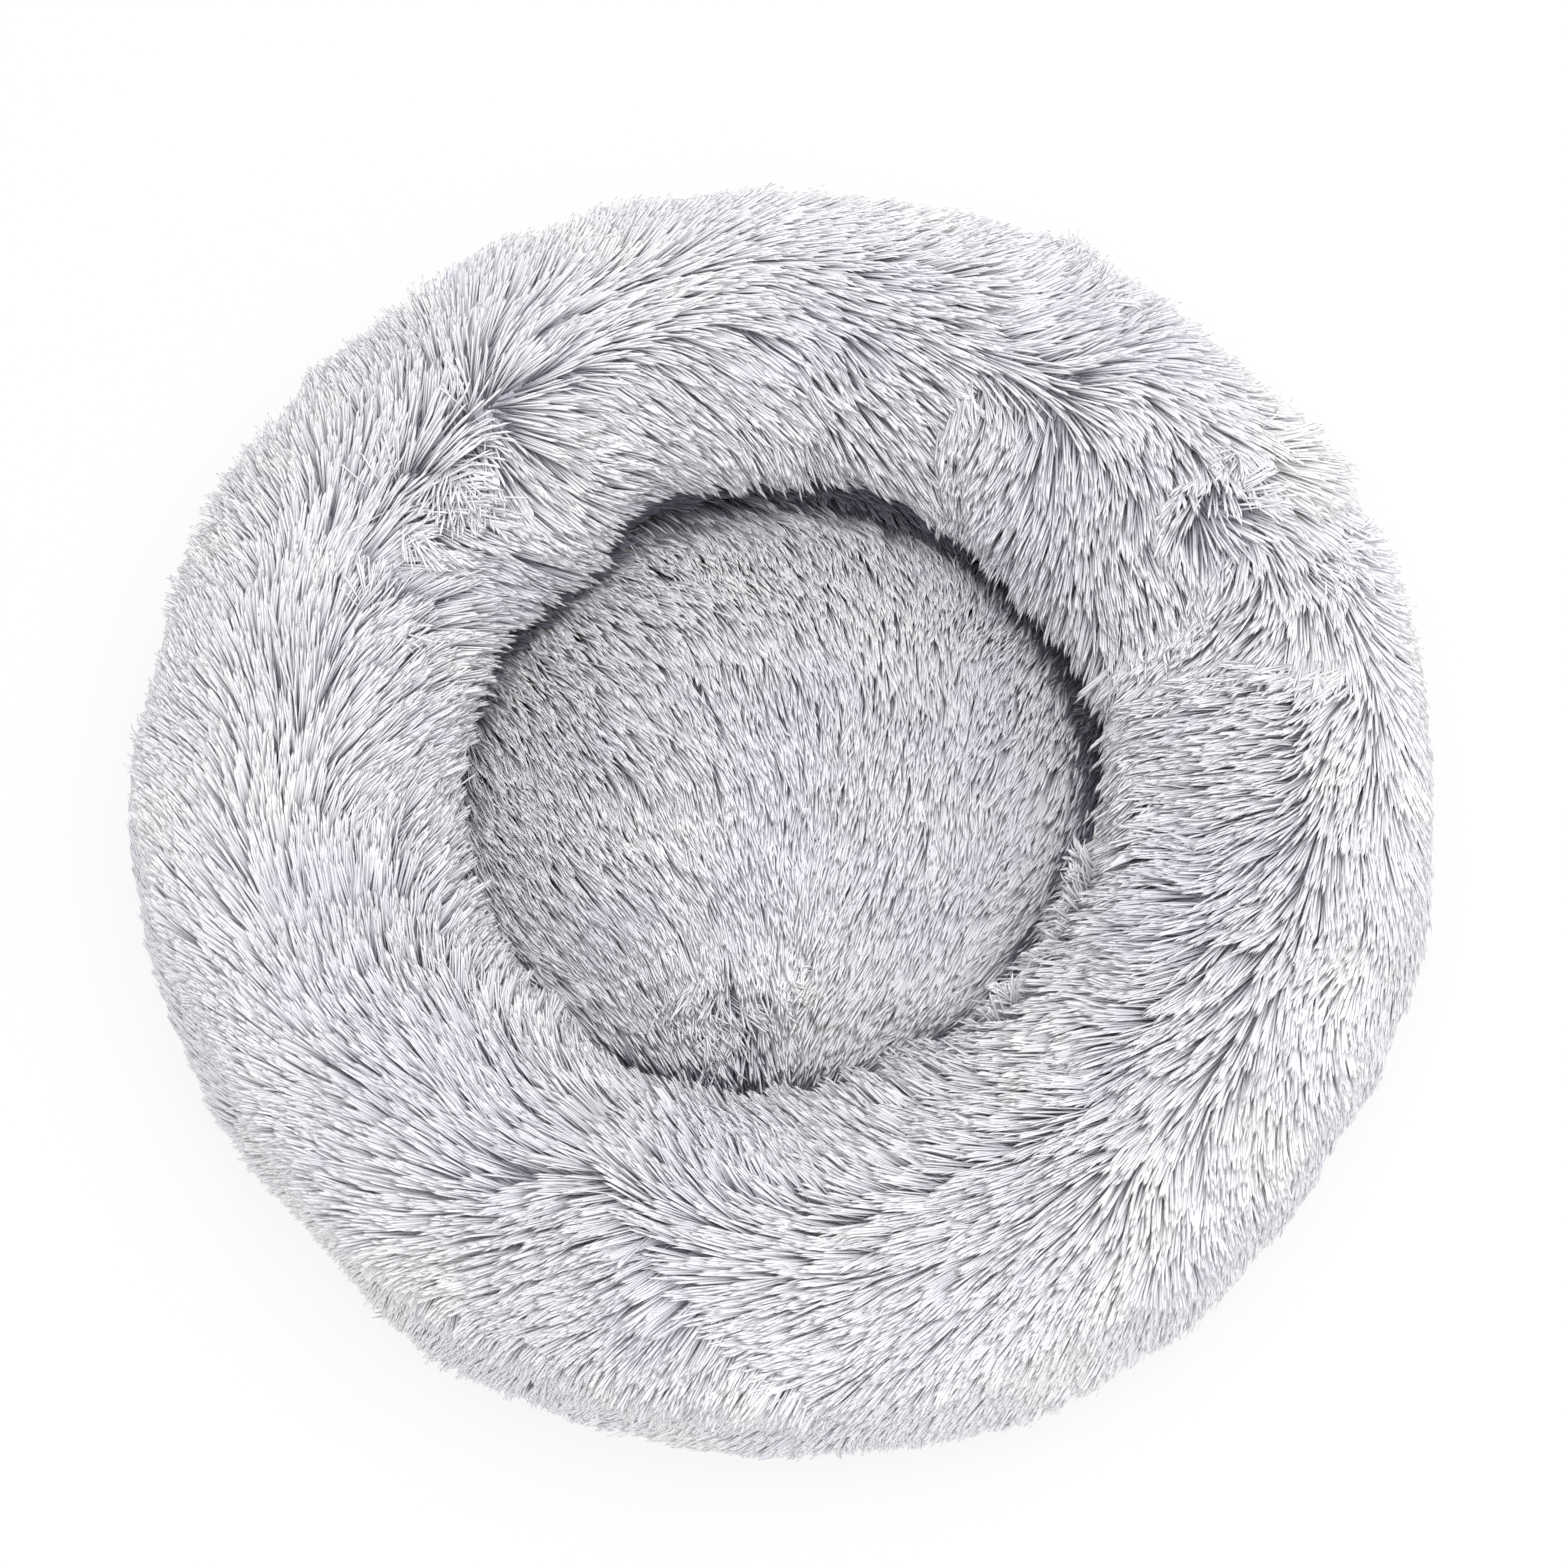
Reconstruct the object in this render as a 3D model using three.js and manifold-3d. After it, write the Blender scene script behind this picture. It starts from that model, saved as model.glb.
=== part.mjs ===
// A round donut bed for a cat or a small dog: a long-pile plush rim round a crowned sleeping cushion, closed
// underneath by a panel of coated fabric with grip dots and a zip. Millimetres, +Z up. The origin is on the floor
// under the middle of the bed. +X is the right and +Y the back of the bed as a pet's owner stands before it.
import * as THREE from "three";
import { mergeVertices } from "three/addons/utils/BufferGeometryUtils.js";
import Module from "manifold-3d";

const wasm = await Module();
wasm.setup();

// The bed. Radii and heights of the rim are to the tips of the pile as it lies.
const OUTER_RADIUS = 250;
const NEST_RADIUS = 116;
const CREST_RADIUS = 186;
const CREST_HEIGHT = 145;
const BULGE_HEIGHT = 62;
const LIP_HEIGHT = 104;
const INNER_SLOPE_POWER = 1.5; // 2 rolls the crest down to the lip in an ellipse, 1 in a straight slope
const SLEEP_RADIUS = 150; // to the seam that joins rim and sleeping panel
const SLEEP_SEAM_HEIGHT = 40;
const SLEEP_CROWN = 46; // how far the sleeping panel rises from its seam to its middle
const BASE_RADIUS = 200; // to the seam that joins rim and base
const ROUND_SIDES = 48;

// The fabrics.
const PLUSH = 9; // backing and pile lying over it
const SEAM_EDGE = 0.8; // a fabric's edge where it is stitched down
const OXFORD = 0.8;
const LINING = 0.6;
const TOUCH = 0.3; // between two pieces that lie against each other
const OVERRUN = 1; // how far a cutting shape reaches past what it cuts

// The grip dots on the underside.
const DOT_RADIUS = 3;
const DOT_HEIGHT = 0.8;
const DOT_PITCH = 33;
const DOT_SIDES = 6;
const DOT_EDGE = 6; // from a dot to the nearest edge or fold

// The slit in each casing that its filling goes in by.
const SLIT_LENGTH = 70;
const SLIT_HEIGHT = 5;

// The zip, which runs across the underside along X.
const TOOTH_PITCH = 3;
const ZIP_INSET = 36; // from the sleeping panel's seam to the last tooth
const TOOTH_NECK = 0.5; // half widths of a tooth
const TOOTH_HEAD = 0.62;
const TOOTH_REACH = 1.3; // how far a tooth reaches past the middle of the zip
const TEETH_THICKNESS = 3;
const SPINE_START = 1.9; // the strip that carries the teeth, measured from the middle of the zip
const SPINE_END = 2.9;
const TAPE_BITE = 0.6; // how deep the tape's edge sits in the strip
const TAPE_WIDTH = 11;
const TAPE = 0.6;
const TAPE_TAIL = 16; // tape past the last tooth
const WINDOW_HALF = 8; // the opening that shows the zip, from its middle to its edge
const LANDING_HALF = 15;
const FOLD_HALF = 23; // where the base leaves the floor to rise to the zip
const WINDOW_TAIL = 5; // straight stretch of the window past the last tooth
const ZIP_HEIGHT = 8; // the tape's middle above the floor
const THREAD_HALF = 0.3;
const STITCH_INSET = 2.5; // from the window's edge to the stitches round it
const END_STEPS = 6;

// The zip's slider, stops and pull.
const SLIDER_HALF = 6;
const SLIDER_WALL = 1.2;
const SLIDE_GAP = 0.35;
const SLIDER_REAR = 4.5; // half widths
const SLIDER_FRONT = 6;
const POST_HALF = 1;
const POST_LENGTH = 3.4;
const BAIL_HALF_LENGTH = 4;
const BAIL_HALF_WIDTH = 0.8;
const BAIL_GAP = 1.85;
const BAIL_BAR = 0.9;
const STOP_LENGTH = 2.2;
const STOP_WIDTH = 3;
const STOP_WALL = 0.8;
const STOP_THICKNESS = 4.4; // more than the slider's channel lets in
const PULL_LENGTH = 22;
const PULL_HALF = 3.6;
const PULL_THICKNESS = 1.1;
const PULL_EYE_LENGTH = 4.2;
const PULL_EYE_HALF = 1.3;
const PULL_GRIP_RADIUS = 1.6;

// Where the rim is gathered or plump. The depth is what a share of 1 moves; the rows are
// [bearing and half width in degrees, outward share, upward share, share that the lip draws back].
const GATHER_DEPTH = 7;
const GATHER_SHARES = [
  [15, 8, 0.6, -1.0, 0.9],
  [30, 7, 0.6, 0.2, 0.3],
  [50, 9, -0.2, -0.3, 0],
  [67, 7, 0.3, -0.7, -0.4],
  [90, 7, 0.1, -0.8, 0.1],
  [90, 40, -0.5, 0, 0.8],
  [112, 8, -0.1, 0.3, -0.2],
  [135, 11, -0.5, 0.6, -0.8],
  [158, 7, 0.4, -0.6, 0.2],
  [180, 9, 0.2, 0.3, 0],
  [202, 7, -0.3, -0.8, 0.4],
  [222, 13, -1.2, 0.2, 0.7],
  [247, 7, -0.4, -0.5, 0.2],
  [270, 10, 0.2, 0.4, -0.3],
  [270, 35, -0.5, 0, 0.3],
  [292, 7, 0.3, -0.6, 0.1],
  [317, 7, -0.5, -0.9, -0.3],
  [330, 7, -0.6, 0, 0],
  [340, 10, 0, 0.5, -0.2],
];
// Steps along the rim's four quarter curves: under the bulge, over it, over the lip, under the lip.
const PILE_STEPS = [3, 3, 4, 3];
const BACKING_STEPS = [2, 2, 3, 2];

// Colours and finishes.
const finish = (color, roughness, metalness = 0) =>
  new THREE.MeshStandardMaterial({ color, roughness, metalness });
const plush = finish(0xdcdbe2, 0.95);
const lining = finish(0xf1f1ee, 0.9);
const fibre = finish(0xfafaf8, 1);
const oxford = finish(0x8f9097, 0.8);
const webbing = finish(0x85868d, 0.85);
const thread = finish(0x7c7d84, 0.7);
const plastic = finish(0x9b9ca2, 0.45);
const nickel = finish(0xbfc0c4, 0.3, 1);

const floorTop = DOT_HEIGHT + OXFORD;
const landing = ZIP_HEIGHT - TAPE / 2 - TOUCH - OXFORD; // the window's rim, which the tapes lie on
const toothCount = Math.round((2 * (SLEEP_RADIUS - ZIP_INSET)) / TOOTH_PITCH);
const zipHalf = (toothCount * TOOTH_PITCH) / 2;
const windowHalf = zipHalf + WINDOW_TAIL;

// A closed geometry as a manifold-3d solid, and back.
function solid(geometry) {
  const bare = geometry.clone();
  bare.deleteAttribute("normal");
  bare.deleteAttribute("uv");
  const merged = mergeVertices(bare);
  return new wasm.Manifold(
    new wasm.Mesh({
      numProp: 3,
      vertProperties: new Float32Array(merged.attributes.position.array),
      triVerts: new Uint32Array(merged.index.array),
    }),
  );
}

function geometryOf(made) {
  const mesh = made.getMesh();
  const geometry = new THREE.BufferGeometry();
  geometry.setAttribute("position", new THREE.BufferAttribute(mesh.vertProperties, 3));
  geometry.setIndex(new THREE.BufferAttribute(mesh.triVerts, 1));
  return geometry;
}

// A closed tube through loops of points, each loop the tube's section at one station. A loop that runs out and
// back gives the count of points on its way out, and the facets of its way back are split to match.
function ring(loops, wayOut = loops[0].length) {
  const count = loops[0].length;
  const positions = loops.flat().flatMap((p) => [p.x, p.y, p.z]);
  const index = [];
  loops.forEach((_, i) => {
    const here = i * count;
    const next = ((i + 1) % loops.length) * count;
    for (let k = 0; k < count; k++) {
      const l = (k + 1) % count;
      if (k < wayOut) index.push(here + k, next + k, next + l, here + k, next + l, here + l);
      else index.push(here + k, next + k, here + l, next + k, next + l, here + l);
    }
  });
  const geometry = new THREE.BufferGeometry();
  geometry.setAttribute("position", new THREE.Float32BufferAttribute(positions, 3));
  geometry.setIndex(index);
  return geometry;
}

// A profile of [radius, height] pairs turned round the Z axis.
function turned(profile) {
  const points = profile.map(([r, z]) => new THREE.Vector2(r, z));
  return new THREE.LatheGeometry(points, ROUND_SIDES).rotateX(Math.PI / 2);
}

// A flat outline raised from one height to another.
function raised(outline, from, to, bevel = 0) {
  return new THREE.ExtrudeGeometry(outline, {
    depth: to - from - 2 * bevel,
    bevelEnabled: bevel > 0,
    bevelThickness: bevel,
    bevelSize: bevel,
    bevelOffset: -bevel,
    bevelSegments: 1,
    curveSegments: END_STEPS,
  }).translate(0, 0, from + bevel);
}

function outlineOf(points) {
  return new THREE.Shape(points.map(([x, y]) => new THREE.Vector2(x, y)));
}

function ordered(a, b) {
  return [Math.min(a, b), Math.max(a, b)];
}

function box(x0, x1, y0, y1, z0, z1) {
  return new THREE.BoxGeometry(x1 - x0, y1 - y0, z1 - z0).translate(
    (x0 + x1) / 2,
    (y0 + y1) / 2,
    (z0 + z1) / 2,
  );
}

// The points of a long round-ended loop about the zip, a given distance out from its middle line.
function stadium(reach) {
  const points = [];
  for (const side of [1, -1])
    for (let i = 0; i <= END_STEPS; i++) {
      const turn = Math.PI * (i / END_STEPS - 1 / 2) + (side < 0 ? Math.PI : 0);
      points.push([side * windowHalf + reach * Math.cos(turn), reach * Math.sin(turn)]);
    }
  return points;
}

// How the rim's outside, crest and lip stand at a bearing, in radians.
function rimAt(bearing) {
  const shape = { outside: OUTER_RADIUS, crest: CREST_HEIGHT, lip: NEST_RADIUS };
  for (const [at, spread, outward, upward, back] of GATHER_SHARES) {
    const away = THREE.MathUtils.radToDeg(bearing) - at;
    const off = THREE.MathUtils.euclideanModulo(away + 180, 360) - 180;
    const weight = GATHER_DEPTH * Math.exp(-((off / spread) ** 2));
    shape.outside += outward * weight;
    shape.crest += Math.min(upward, 0) * weight + (Math.max(upward, 0) * weight) / 2;
    shape.lip += back * weight;
  }
  return shape;
}

// A quarter of an ellipse about [r, z], from the given quarter turn to the next, without its last point. A power
// below 2 makes it straighter between its ends.
function quarter([r, z], [reach, rise], turn, steps, power = 2) {
  const points = [];
  const bowed = (value) => Math.sign(value) * Math.abs(value) ** (2 / power);
  for (let i = 0; i < steps; i++) {
    const a = (Math.PI / 2) * (turn + i / steps);
    points.push([r + reach * bowed(Math.cos(a)), z + rise * bowed(Math.sin(a))]);
  }
  return points;
}

// The rim's section at a bearing, a given depth under the tips of the pile, from the base's seam over the bulge,
// the crest and the lip to the sleeping panel's seam. lift is the height of its two ends over the fabric's face
// there, and inset moves the inner end out from the seam.
function rimSection(bearing, depth, lift, inset, steps) {
  const { outside, crest, lip } = rimAt(bearing);
  const far = outside - depth;
  const top = crest - depth;
  const near = lip + depth;
  const foot = DOT_HEIGHT + lift;
  const seam = SLEEP_RADIUS + inset;
  const seamHeight = SLEEP_SEAM_HEIGHT + lift;
  return [
    ...quarter([BASE_RADIUS, BULGE_HEIGHT], [far - BASE_RADIUS, BULGE_HEIGHT - foot], -1, steps[0]),
    ...quarter([CREST_RADIUS, BULGE_HEIGHT], [far - CREST_RADIUS, top - BULGE_HEIGHT], 0, steps[1]),
    ...quarter(
      [CREST_RADIUS, LIP_HEIGHT],
      [CREST_RADIUS - near, top - LIP_HEIGHT],
      1,
      steps[2],
      INNER_SLOPE_POWER,
    ),
    ...quarter([seam, LIP_HEIGHT], [seam - near, LIP_HEIGHT - seamHeight], 2, steps[3]),
    [seam, seamHeight],
  ];
}

// A ring whose section at each bearing is a loop of [radius, height] pairs.
function rimRing(sectionAt, wayOut) {
  const loops = [];
  for (let i = 0; i < ROUND_SIDES; i++) {
    const bearing = (2 * Math.PI * i) / ROUND_SIDES;
    loops.push(
      sectionAt(bearing).map(
        ([r, z]) => new THREE.Vector3(r * Math.cos(bearing), r * Math.sin(bearing), z),
      ),
    );
  }
  return ring(loops, wayOut);
}

// The plush strip of the rim, from the base's seam up and over to the sleeping panel's seam.
function rimCover() {
  const section = (bearing) => [
    ...rimSection(bearing, 0, 0, -TOUCH, PILE_STEPS),
    ...rimSection(bearing, PLUSH, SEAM_EDGE, -TOUCH, BACKING_STEPS).reverse(),
  ];
  const wayOut = PILE_STEPS.reduce((sum, steps) => sum + steps) + 1;
  return rimRing(section, wayOut);
}

// The ring cushion inside the rim, with its face a given depth under the cover's backing.
function ringCushion(depth) {
  const lift = SEAM_EDGE + depth;
  const inset = depth - TOUCH;
  return rimRing((bearing) => [
    ...rimSection(bearing, PLUSH + depth, lift, inset, BACKING_STEPS),
    [SLEEP_RADIUS + inset, DOT_HEIGHT + lift],
  ]);
}

function rimCasing() {
  const inner = TOUCH + LINING;
  const top = SLEEP_SEAM_HEIGHT / 2;
  const slit = box(
    -SLIT_LENGTH / 2,
    SLIT_LENGTH / 2,
    -SLEEP_RADIUS - FOLD_HALF,
    -SLEEP_RADIUS + FOLD_HALF,
    top,
    top + SLIT_HEIGHT,
  );
  return geometryOf(
    solid(ringCushion(TOUCH)).subtract(solid(ringCushion(inner)).add(solid(slit))),
  );
}

function rimFilling() {
  return ringCushion(2 * TOUCH + LINING);
}

// The height of the sleeping panel's pile at a radius: a flat crown that is drawn in to its seam.
function sleepHeight(r) {
  const share = r / SLEEP_RADIUS;
  return SLEEP_SEAM_HEIGHT - TOUCH + SLEEP_CROWN * (1 - share ** 4) ** 2;
}

// The sleeping panel's thickness at a radius. It is full but for the last stretch to the seam.
function sleepThickness(r) {
  const share = r / SLEEP_RADIUS;
  return SEAM_EDGE + (PLUSH - SEAM_EDGE) * (1 - share ** 8);
}

const SLEEP_SHARES = [0, 0.2, 0.4, 0.6, 0.75, 0.88, 0.96, 1];
const sleepEdge = SLEEP_RADIUS - TOUCH;

function sleepingPanel() {
  const radii = SLEEP_SHARES.map((share) => share * sleepEdge);
  return turned([
    ...radii.map((r) => [r, sleepHeight(r) - sleepThickness(r)]),
    ...radii.map((r) => [r, sleepHeight(r)]).reverse(),
  ]);
}

// The round cushion under the sleeping panel, a given depth inside the space that holds it.
function padCushion(depth) {
  const radii = SLEEP_SHARES.map((share) => share * (sleepEdge - depth));
  const body = turned([
    [0, floorTop + TOUCH + depth],
    [sleepEdge - depth, floorTop + TOUCH + depth],
    ...radii.map((r) => [r, sleepHeight(r) - sleepThickness(r) - TOUCH - depth]).reverse(),
  ]);
  const plan = outlineOf(stadium(FOLD_HALF + OVERRUN + depth));
  const groove = raised(plan, -OVERRUN, sliderTop + TOUCH + depth);
  return solid(body).subtract(solid(groove));
}

const teethTop = ZIP_HEIGHT + TEETH_THICKNESS / 2;
const teethFoot = ZIP_HEIGHT - TEETH_THICKNESS / 2;
const sliderTop = teethTop + SLIDE_GAP + SLIDER_WALL;
const sliderFoot = teethFoot - SLIDE_GAP - SLIDER_WALL;

function padCasing() {
  const top = SLEEP_SEAM_HEIGHT / 2;
  const slit = box(
    -SLIT_LENGTH / 2,
    SLIT_LENGTH / 2,
    -SLEEP_RADIUS - OVERRUN,
    -SLEEP_RADIUS + FOLD_HALF,
    top,
    top + SLIT_HEIGHT,
  );
  return geometryOf(padCushion(0).subtract(padCushion(LINING).add(solid(slit))));
}

function padFilling() {
  return geometryOf(padCushion(LINING + TOUCH));
}

// The coated fabric of the underside. It rises in a long fold to the zip's window.
function basePanel() {
  const edge = [];
  for (let i = 0; i < ROUND_SIDES; i++) {
    const a = (2 * Math.PI * i) / ROUND_SIDES;
    edge.push([(BASE_RADIUS - TOUCH) * Math.cos(a), (BASE_RADIUS - TOUCH) * Math.sin(a)]);
  }
  const sheet = outlineOf(edge);
  sheet.holes.push(outlineOf(stadium(FOLD_HALF)));
  const fold = [
    [FOLD_HALF + OXFORD, DOT_HEIGHT],
    [FOLD_HALF + OXFORD, floorTop],
    [LANDING_HALF + OXFORD / 2, landing + OXFORD],
    [WINDOW_HALF, landing + OXFORD],
    [WINDOW_HALF, landing],
    [LANDING_HALF - OXFORD / 2, landing],
    [FOLD_HALF - OXFORD, DOT_HEIGHT],
  ];
  const stations = stadium(0).map((_, i) =>
    fold.map(([reach, z]) => new THREE.Vector3(...stadium(reach)[i], z)),
  );
  return solid(raised(sheet, DOT_HEIGHT, floorTop)).add(solid(ring(stations)));
}

// The line of stitches that holds the tapes to the base, all round the window.
function zipStitching() {
  const reach = WINDOW_HALF + STITCH_INSET;
  const z = landing - TOUCH - THREAD_HALF;
  const section = [
    [reach + THREAD_HALF, z],
    [reach, z + THREAD_HALF],
    [reach - THREAD_HALF, z],
    [reach, z - THREAD_HALF],
  ];
  const stations = stadium(0).map((_, i) =>
    section.map(([r, h]) => new THREE.Vector3(...stadium(r)[i], h)),
  );
  return ring(stations);
}

// The places of the grip dots: a triangular grid over the flat of the base.
function dotPlaces() {
  const places = [];
  const rowPitch = (DOT_PITCH * Math.sqrt(3)) / 2;
  const rows = Math.floor(BASE_RADIUS / rowPitch);
  const columns = Math.ceil(BASE_RADIUS / DOT_PITCH);
  for (let row = -rows; row <= rows; row++)
    for (let column = -columns; column <= columns; column++) {
      const y = row * rowPitch;
      const x = (column + (Math.abs(row) % 2) / 2) * DOT_PITCH;
      const clear = DOT_RADIUS + DOT_EDGE;
      const toZip = Math.hypot(Math.max(Math.abs(x) - windowHalf, 0), y);
      if (Math.hypot(x, y) < BASE_RADIUS - clear && toZip > FOLD_HALF + clear) places.push([x, y]);
    }
  return places;
}

function basePanelWithDots() {
  const dots = dotPlaces().map(([x, y]) => {
    const height = DOT_HEIGHT + OXFORD / 2;
    const dot = new THREE.CylinderGeometry(DOT_RADIUS, DOT_RADIUS, height, DOT_SIDES);
    return solid(dot.rotateX(Math.PI / 2).translate(x, y, height / 2));
  });
  return geometryOf(dots.reduce((whole, dot) => whole.add(dot), basePanel()));
}

// One half of the zip's chain. side is 1 for the back half and -1 for the front half, whose teeth stand half a
// pitch along so that the two halves mesh.
function zipTeeth(side) {
  const outline = [
    [-zipHalf, SPINE_END],
    [-zipHalf, SPINE_START],
  ];
  for (let i = 0; i < toothCount; i++) {
    const x = -zipHalf + (i + 1 / 2 + side / 4) * TOOTH_PITCH;
    outline.push(
      [x - TOOTH_NECK, SPINE_START],
      [x - TOOTH_HEAD, -TOOTH_REACH],
      [x + TOOTH_HEAD, -TOOTH_REACH],
      [x + TOOTH_NECK, SPINE_START],
    );
  }
  outline.push([zipHalf, SPINE_START], [zipHalf, SPINE_END]);
  const chain = raised(outlineOf(outline.map(([x, y]) => [x, side * y])), teethFoot, teethTop);
  const slotHalf = TAPE / 2 + TOUCH;
  const seat = ordered(side * (SPINE_END - TAPE_BITE - TOUCH), side * (SPINE_END + OVERRUN));
  const slot = box(
    -zipHalf - OVERRUN,
    zipHalf + OVERRUN,
    ...seat,
    ZIP_HEIGHT - slotHalf,
    ZIP_HEIGHT + slotHalf,
  );
  return geometryOf(solid(chain).subtract(solid(slot)));
}

function zipTape(side) {
  const inner = SPINE_END - TAPE_BITE;
  const [y0, y1] = ordered(side * inner, side * (inner + TAPE_WIDTH));
  const end = zipHalf + TAPE_TAIL;
  return box(-end, end, y0, y1, ZIP_HEIGHT - TAPE / 2, ZIP_HEIGHT + TAPE / 2);
}

// The clamp that joins both tapes where the zip starts.
function bottomStop() {
  const half = SPINE_END + TOUCH;
  const body = box(
    -zipHalf - TOUCH - 2 * STOP_LENGTH,
    -zipHalf - TOUCH,
    -half,
    half,
    ZIP_HEIGHT - STOP_THICKNESS / 2,
    ZIP_HEIGHT + STOP_THICKNESS / 2,
  );
  const slots = solid(tapeSlot(1)).add(solid(tapeSlot(-1)));
  return geometryOf(solid(body).subtract(slots));
}

// The small clamp on each tape, past the closed slider, that keeps it on the zip.
function topStop(side) {
  const inner = SPINE_END - TAPE_BITE - TOUCH - STOP_WALL;
  const [y0, y1] = ordered(side * inner, side * (inner + STOP_WIDTH));
  const start = sliderMiddle + SLIDER_HALF + TOUCH;
  const body = box(
    start,
    start + STOP_LENGTH,
    y0,
    y1,
    ZIP_HEIGHT - STOP_THICKNESS / 2,
    ZIP_HEIGHT + STOP_THICKNESS / 2,
  );
  return geometryOf(solid(body).subtract(solid(tapeSlot(side))));
}

// The room that a tape takes in a stop, open to the tape's side.
function tapeSlot(side) {
  const half = TAPE / 2 + TOUCH;
  const end = zipHalf + TAPE_TAIL;
  const edges = ordered(side * (SPINE_END - TAPE_BITE - TOUCH), side * (SPINE_END + TAPE_WIDTH));
  return box(-end, end, ...edges, ZIP_HEIGHT - half, ZIP_HEIGHT + half);
}

// The slider closes the zip at rest: its post stands just past the last teeth.
const sliderMiddle = zipHalf + TOUCH + POST_LENGTH / 2 - SLIDER_HALF / 2;
const pullPivot = sliderFoot - BAIL_GAP / 2;

function zipSlider() {
  const flare = SLIDER_HALF / 3;
  const plan = (narrow, wide, half) =>
    outlineOf([
      [-half, -narrow],
      [-flare, -narrow],
      [flare, -wide],
      [half, -wide],
      [half, wide],
      [flare, wide],
      [-flare, narrow],
      [-half, narrow],
    ]);
  const body = raised(plan(SLIDER_REAR, SLIDER_FRONT, SLIDER_HALF), sliderFoot, sliderTop, SLIDE_GAP);
  const channel = raised(
    plan(SLIDER_REAR - SLIDER_WALL, SLIDER_FRONT - SLIDER_WALL, SLIDER_HALF + OVERRUN),
    teethFoot - SLIDE_GAP,
    teethTop + SLIDE_GAP,
  );
  const slotHalf = TAPE / 2 + SLIDE_GAP;
  const slot = box(
    -SLIDER_HALF - OVERRUN,
    SLIDER_HALF + OVERRUN,
    -SLIDER_FRONT - OVERRUN,
    SLIDER_FRONT + OVERRUN,
    ZIP_HEIGHT - slotHalf,
    ZIP_HEIGHT + slotHalf,
  );
  const postFoot = SLIDER_HALF / 2 - POST_LENGTH / 2;
  const post = raised(
    outlineOf([
      [postFoot, 0],
      [postFoot + POST_LENGTH / 3, -POST_HALF],
      [postFoot + POST_LENGTH, -POST_HALF],
      [postFoot + POST_LENGTH, POST_HALF],
      [postFoot + POST_LENGTH / 3, POST_HALF],
    ]),
    sliderFoot + SLIDER_WALL / 2,
    sliderTop - SLIDER_WALL / 2,
  );
  return geometryOf(
    solid(body).subtract(solid(channel).add(solid(slot))).add(solid(post)).add(bail()),
  );
}

// The bridge under the slider that the pull hangs from, drawn from the side and given its width.
function bail() {
  const top = sliderFoot + SLIDER_WALL / 2;
  const eye = sliderFoot - BAIL_GAP;
  const foot = eye - BAIL_BAR;
  const inside = BAIL_HALF_LENGTH - BAIL_BAR;
  const bend = BAIL_HALF_LENGTH - BAIL_BAR / 2;
  const side = outlineOf([
    [-BAIL_HALF_LENGTH, top],
    [-BAIL_HALF_LENGTH, eye],
    [-bend, foot],
    [bend, foot],
    [BAIL_HALF_LENGTH, eye],
    [BAIL_HALF_LENGTH, top],
  ]);
  const eyeBox = box(-inside, inside, -SLIDER_FRONT, SLIDER_FRONT, eye, sliderFoot);
  const bridge = raised(side, -BAIL_HALF_WIDTH, BAIL_HALF_WIDTH).rotateX(Math.PI / 2);
  return solid(bridge).subtract(solid(eyeBox));
}

// The pull tab, drawn about its pivot and lying back over the closed zip.
function zipPull() {
  const bar = PULL_THICKNESS / 2;
  const grip = PULL_LENGTH - PULL_HALF;
  const outline = new THREE.Shape();
  outline.moveTo(bar, -PULL_HALF);
  outline.lineTo(bar, PULL_HALF);
  outline.lineTo(-grip, PULL_HALF);
  outline.absarc(-grip, 0, PULL_HALF, Math.PI / 2, (3 * Math.PI) / 2, false);
  outline.holes.push(
    outlineOf([
      [-bar, -PULL_EYE_HALF],
      [-bar, PULL_EYE_HALF],
      [-bar - PULL_EYE_LENGTH, PULL_EYE_HALF],
      [-bar - PULL_EYE_LENGTH, -PULL_EYE_HALF],
    ]),
  );
  const hole = new THREE.Path();
  hole.absarc(-grip, 0, PULL_GRIP_RADIUS, 0, 2 * Math.PI, true);
  outline.holes.push(hole);
  return raised(outline, -bar, bar);
}

const bed = new THREE.Group();

function place(name, geometry, material, parent = bed) {
  const mesh = new THREE.Mesh(geometry, material);
  mesh.name = name;
  parent.add(mesh);
  return mesh;
}

place("rim_cover", rimCover(), plush);
place("rim_casing", rimCasing(), lining);
place("rim_filling", rimFilling(), fibre);
place("sleeping_panel", sleepingPanel(), plush);
place("pad_casing", padCasing(), lining);
place("pad_filling", padFilling(), fibre);
place("base_panel", basePanelWithDots(), oxford);

const zip = new THREE.Group();
bed.add(zip);
place("zip_stitching", zipStitching(), thread, zip);
for (const [end, side] of [
  ["back", 1],
  ["front", -1],
]) {
  place(`zip_tape_${end}`, zipTape(side), webbing, zip);
  place(`zip_teeth_${end}`, zipTeeth(side), plastic, zip);
  place(`zip_top_stop_${end}`, topStop(side), nickel, zip);
}
place("zip_bottom_stop", bottomStop(), nickel, zip);

const slider = new THREE.Group();
slider.position.x = sliderMiddle;
zip.add(slider);
place("zip_slider", zipSlider(), nickel, slider);
place("zip_pull", zipPull(), nickel, slider).position.z = pullPivot;

export default bed;
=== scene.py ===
"""Dresses the packed donut pet bed for a photograph: long-pile plush over two stuffed cushions, a coated base
with grip dots, and its zip. Laid out as an add-on, and run as a script. Lengths are in metres."""

import math

import bmesh
import bpy
import numpy as np
from bpy.props import FloatProperty, FloatVectorProperty, IntProperty, PointerProperty
from mathutils import Matrix, Vector, kdtree


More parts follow.
